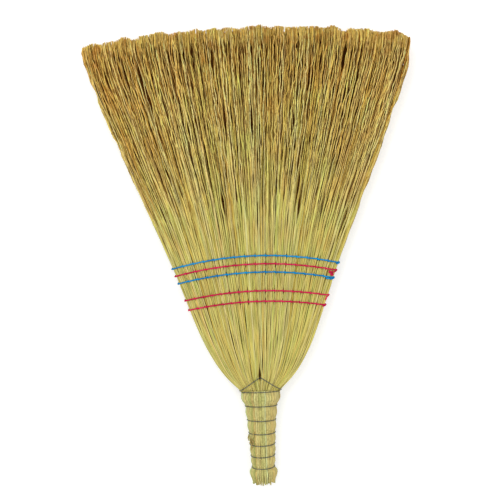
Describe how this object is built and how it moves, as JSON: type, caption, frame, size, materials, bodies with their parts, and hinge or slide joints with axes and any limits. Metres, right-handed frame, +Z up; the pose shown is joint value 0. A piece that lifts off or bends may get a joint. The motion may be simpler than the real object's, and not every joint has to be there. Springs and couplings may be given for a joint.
{
  "type": "hand broom",
  "caption": "Sorghum hand broom with a fanned, twine-stitched sweep bound by wire to a short round grip of the same stalks.",
  "frame": {"origin": "middle of the bounding box in plan, on the surface that the broom lies on", "axes": "+Y along the broom from the grip's butt to the tips, +X across the fan, +Z up from the surface through its depth"},
  "size_m": [0.393, 0.5506, 0.0388],
  "materials": {
    "sweep_straw": "matt dried sorghum branches",
    "grip_stalks": "satin dried sorghum stalks",
    "galvanised_wire": "dull zinc coat",
    "blue_twine": "twisted synthetic twine",
    "red_twine": "twisted synthetic twine"
  },
  "bodies": {
    "root": {"sweep_bunch_01": "sweep_straw", "sweep_bunch_02": "sweep_straw", "sweep_bunch_03": "sweep_straw", "sweep_bunch_04": "sweep_straw", "sweep_bunch_05": "sweep_straw", "sweep_bunch_06": "sweep_straw", "sweep_bunch_07": "sweep_straw", "sweep_bunch_08": "sweep_straw", "sweep_bunch_09": "sweep_straw", "sweep_bunch_10": "sweep_straw", "sweep_bunch_11": "sweep_straw", "sweep_bunch_12": "sweep_straw", "sweep_bunch_13": "sweep_straw", "sweep_bunch_14": "sweep_straw", "sweep_bunch_15": "sweep_straw", "sweep_bunch_16": "sweep_straw", "grip_stalks_1": "grip_stalks", "grip_stalks_2": "grip_stalks", "grip_stalks_3": "grip_stalks", "grip_stalks_4": "grip_stalks", "grip_stalks_5": "grip_stalks", "grip_stalks_6": "grip_stalks", "grip_stalks_7": "grip_stalks", "grip_stalks_8": "grip_stalks", "grip_core": "grip_stalks", "grip_wire_1": "galvanised_wire", "grip_wire_2": "galvanised_wire", "grip_wire_3": "galvanised_wire", "grip_wire_4": "galvanised_wire", "grip_wire_5": "galvanised_wire", "grip_wire_6": "galvanised_wire", "grip_wire_7": "galvanised_wire", "shoulder_tie_left": "galvanised_wire", "shoulder_tie_right": "galvanised_wire", "twine_row_1": "red_twine", "twine_row_2": "red_twine", "twine_row_3": "blue_twine", "twine_row_4": "red_twine", "twine_row_5": "blue_twine"}
  },
  "joints": []
}
